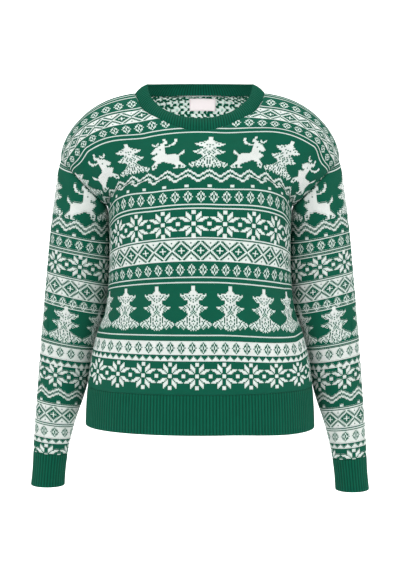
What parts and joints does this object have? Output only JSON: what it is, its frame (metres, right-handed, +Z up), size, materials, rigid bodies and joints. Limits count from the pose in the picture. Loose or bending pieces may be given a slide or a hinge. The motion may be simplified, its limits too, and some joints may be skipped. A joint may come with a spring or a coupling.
{
  "type": "christmas sweater",
  "caption": "Hollow knitted pullover with a round neck, dropped shoulders, long sleeves and ribbed edges, patterned in bands of snowflakes, firs and reindeer.",
  "frame": {"origin": "middle of the neck at shoulder height, where the wearer holds the garment up", "axes": "+Z up the body, -Y out of the front, +X to the wearer's left"},
  "size_m": [0.57, 0.2566, 0.6842],
  "materials": {
    "pattern_knit": "two-colour jacquard knit of matt yarn, deep green and off-white",
    "rib_knit": "plain deep green one-by-one rib",
    "label_tape": "smooth off-white woven tape"
  },
  "bodies": {
    "root": {"front_panel": "pattern_knit", "back_panel": "pattern_knit", "sleeve_left": "pattern_knit", "sleeve_right": "pattern_knit", "neckband": "rib_knit", "hem_rib": "rib_knit", "cuff_left": "rib_knit", "cuff_right": "rib_knit", "neck_label": "label_tape"}
  },
  "joints": []
}
